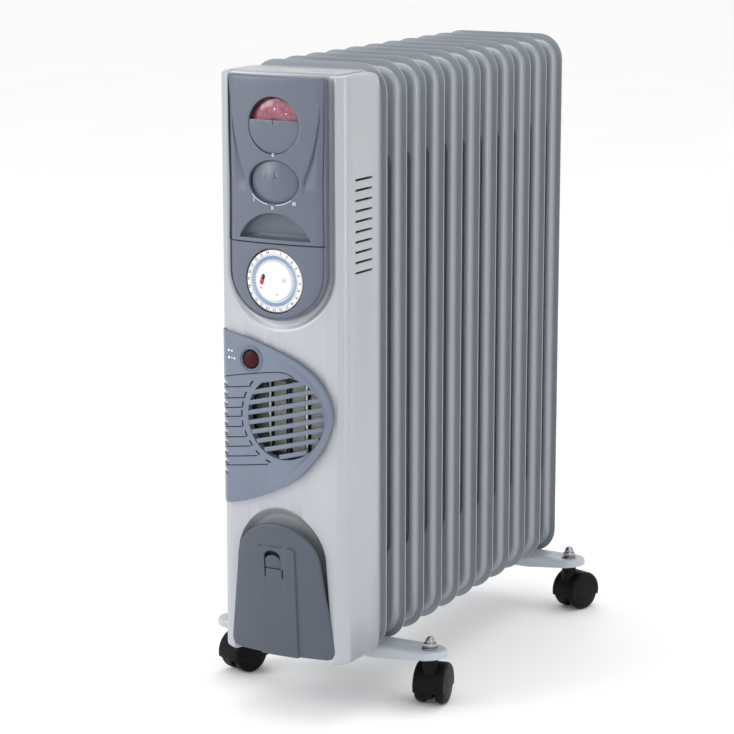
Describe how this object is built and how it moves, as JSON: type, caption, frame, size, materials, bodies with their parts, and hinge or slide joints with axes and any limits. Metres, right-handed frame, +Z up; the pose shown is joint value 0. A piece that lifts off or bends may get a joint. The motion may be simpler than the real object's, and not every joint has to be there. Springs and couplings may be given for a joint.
{
  "type": "oil filled radiator heater",
  "caption": "Finned oil radiator heater on twin-wheel casters, with thermostat, selector and timer dials, a fan heater outlet and a cord winder in its front casing.",
  "frame": {"origin": "on the floor under the middle of the heater's bounding box", "axes": "+Z up, the controls face -Y, the fins run back along +Y, +X is to the right as one faces the controls"},
  "size_m": [0.2618, 0.5145, 0.635],
  "materials": {
    "fin_paint": "satin grey enamel",
    "casing_paint": "light silver enamel",
    "panel_plastic": "slate blue-grey, fine satin",
    "winder_plastic": "dark slate, fine satin",
    "bracket_paint": "pale blue-grey enamel",
    "caster_plastic": "black, half gloss",
    "chrome": "polished plate",
    "zinc_steel": "bright zinc plate",
    "lens_red": "dark red, clear and glossy",
    "switch_red": "deep red, glossy",
    "dial_white": "white with a blue ring",
    "black_plastic": "black, plain",
    "blower_plastic": "grey-green, plain",
    "mica": "brown board"
  },
  "bodies": {
    "radiator": {"fin_01": "fin_paint", "fin_02": "fin_paint", "fin_03": "fin_paint", "fin_04": "fin_paint", "fin_05": "fin_paint", "fin_06": "fin_paint", "fin_07": "fin_paint", "fin_08": "fin_paint", "fin_09": "fin_paint", "fin_10": "fin_paint", "fin_11": "fin_paint", "header_plug_front_top": "fin_paint", "header_plug_rear_top": "fin_paint", "header_plug_rear_bottom": "fin_paint", "front_casing": "casing_paint", "casing_back": "casing_paint", "control_panel": "panel_plastic", "timer_panel": "panel_plastic", "fan_grille": "panel_plastic", "cord_winder": "winder_plastic", "front_bracket": "bracket_paint", "rear_bracket": "bracket_paint", "cap_nut_front_right": "chrome", "cap_nut_front_left": "chrome", "cap_nut_rear_right": "chrome", "cap_nut_rear_left": "chrome", "heating_element": "zinc_steel", "fan_motor": "zinc_steel", "thermal_cutout": "zinc_steel", "front_u_bolt": "zinc_steel", "rear_u_bolt": "zinc_steel", "caster_pin_front_right": "zinc_steel", "caster_pin_front_left": "zinc_steel", "caster_pin_rear_right": "zinc_steel", "caster_pin_rear_left": "zinc_steel", "pilot_lens": "lens_red", "timer_body": "dial_white", "cord_gland": "black_plastic", "thermostat_body": "black_plastic", "selector_switch": "black_plastic", "fan_switch_body": "black_plastic", "fan_heater": "mica"},
    "thermostat_dial": {"thermostat_knob": "panel_plastic"},
    "selector_dial": {"selector_knob": "panel_plastic"},
    "timer_ring": {"timer_dial": "dial_white"},
    "timer_slider": {"timer_switch": "switch_red"},
    "fan_rocker": {"fan_switch": "switch_red"},
    "blower": {"blower_wheel": "blower_plastic"},
    "caster_front_right": {"caster_hood_front_right": "caster_plastic"},
    "wheel_front_right_left": {"wheel_front_right_left": "caster_plastic"},
    "wheel_front_right_right": {"wheel_front_right_right": "caster_plastic"},
    "caster_front_left": {"caster_hood_front_left": "caster_plastic"},
    "wheel_front_left_left": {"wheel_front_left_left": "caster_plastic"},
    "wheel_front_left_right": {"wheel_front_left_right": "caster_plastic"},
    "caster_rear_right": {"caster_hood_rear_right": "caster_plastic"},
    "wheel_rear_right_left": {"wheel_rear_right_left": "caster_plastic"},
    "wheel_rear_right_right": {"wheel_rear_right_right": "caster_plastic"},
    "caster_rear_left": {"caster_hood_rear_left": "caster_plastic"},
    "wheel_rear_left_left": {"wheel_rear_left_left": "caster_plastic"},
    "wheel_rear_left_right": {"wheel_rear_left_right": "caster_plastic"}
  },
  "joints": [
    {"name": "thermostat_turn", "type": "hinge", "parent": "radiator", "child": "thermostat_dial", "pos_m": [0, -0.2549, 0.5815], "axis": [0, -1, 0], "range_deg": [-150, 150]},
    {"name": "selector_turn", "type": "hinge", "parent": "radiator", "child": "selector_dial", "pos_m": [0, -0.2549, 0.5285], "axis": [0, -1, 0], "range_deg": [0, 225]},
    {"name": "timer_turn", "type": "hinge", "parent": "radiator", "child": "timer_ring", "pos_m": [0, -0.2549, 0.4345], "axis": [0, -1, 0], "continuous": true},
    {"name": "timer_switch_slide", "type": "slide", "parent": "radiator", "child": "timer_slider", "axis": [0.2588, 0, 0.9659], "range_m": [0, 0.0048]},
    {"name": "fan_switch_rock", "type": "hinge", "parent": "radiator", "child": "fan_rocker", "pos_m": [-0.0275, -0.24754, 0.3565], "axis": [1, 0, 0], "range_deg": [0, 8]},
    {"name": "blower_spin", "type": "hinge", "parent": "radiator", "child": "blower", "pos_m": [0.008, -0.2049, 0.3], "axis": [0, 0, 1], "continuous": true},
    {"name": "swivel_front_right", "type": "hinge", "parent": "radiator", "child": "caster_front_right", "pos_m": [0.1125, -0.1467, 0.03], "axis": [0, 0, 1], "continuous": true},
    {"name": "roll_front_right_left", "type": "hinge", "parent": "caster_front_right", "child": "wheel_front_right_left", "pos_m": [0.10045, -0.13766, 0.02], "axis": [0.9848, 0.1736, 0], "continuous": true},
    {"name": "roll_front_right_right", "type": "hinge", "parent": "caster_front_right", "child": "wheel_front_right_right", "pos_m": [0.12073, -0.13408, 0.02], "axis": [0.9848, 0.1736, 0], "continuous": true},
    {"name": "swivel_front_left", "type": "hinge", "parent": "radiator", "child": "caster_front_left", "pos_m": [-0.1125, -0.1467, 0.03], "axis": [0, 0, 1], "continuous": true},
    {"name": "roll_front_left_left", "type": "hinge", "parent": "caster_front_left", "child": "wheel_front_left_left", "pos_m": [-0.11842, -0.13284, 0.02], "axis": [0.9397, -0.342, 0], "continuous": true},
    {"name": "roll_front_left_right", "type": "hinge", "parent": "caster_front_left", "child": "wheel_front_left_right", "pos_m": [-0.09906, -0.13989, 0.02], "axis": [0.9397, -0.342, 0], "continuous": true},
    {"name": "swivel_rear_right", "type": "hinge", "parent": "radiator", "child": "caster_rear_right", "pos_m": [0.101, 0.2169, 0.03], "axis": [0, 0, 1], "continuous": true},
    {"name": "roll_rear_right_left", "type": "hinge", "parent": "caster_rear_right", "child": "wheel_rear_right_left", "pos_m": [0.09508, 0.23076, 0.02], "axis": [0.9397, -0.342, 0], "continuous": true},
    {"name": "roll_rear_right_right", "type": "hinge", "parent": "caster_rear_right", "child": "wheel_rear_right_right", "pos_m": [0.11444, 0.22371, 0.02], "axis": [0.9397, -0.342, 0], "continuous": true},
    {"name": "swivel_rear_left", "type": "hinge", "parent": "radiator", "child": "caster_rear_left", "pos_m": [-0.101, 0.2169, 0.03], "axis": [0, 0, 1], "continuous": true},
    {"name": "roll_rear_left_left", "type": "hinge", "parent": "caster_rear_left", "child": "wheel_rear_left_left", "pos_m": [-0.1103, 0.22875, 0.02], "axis": [0.9962, -0.0872, 0], "continuous": true},
    {"name": "roll_rear_left_right", "type": "hinge", "parent": "caster_rear_left", "child": "wheel_rear_left_right", "pos_m": [-0.08978, 0.22696, 0.02], "axis": [0.9962, -0.0872, 0], "continuous": true}
  ]
}
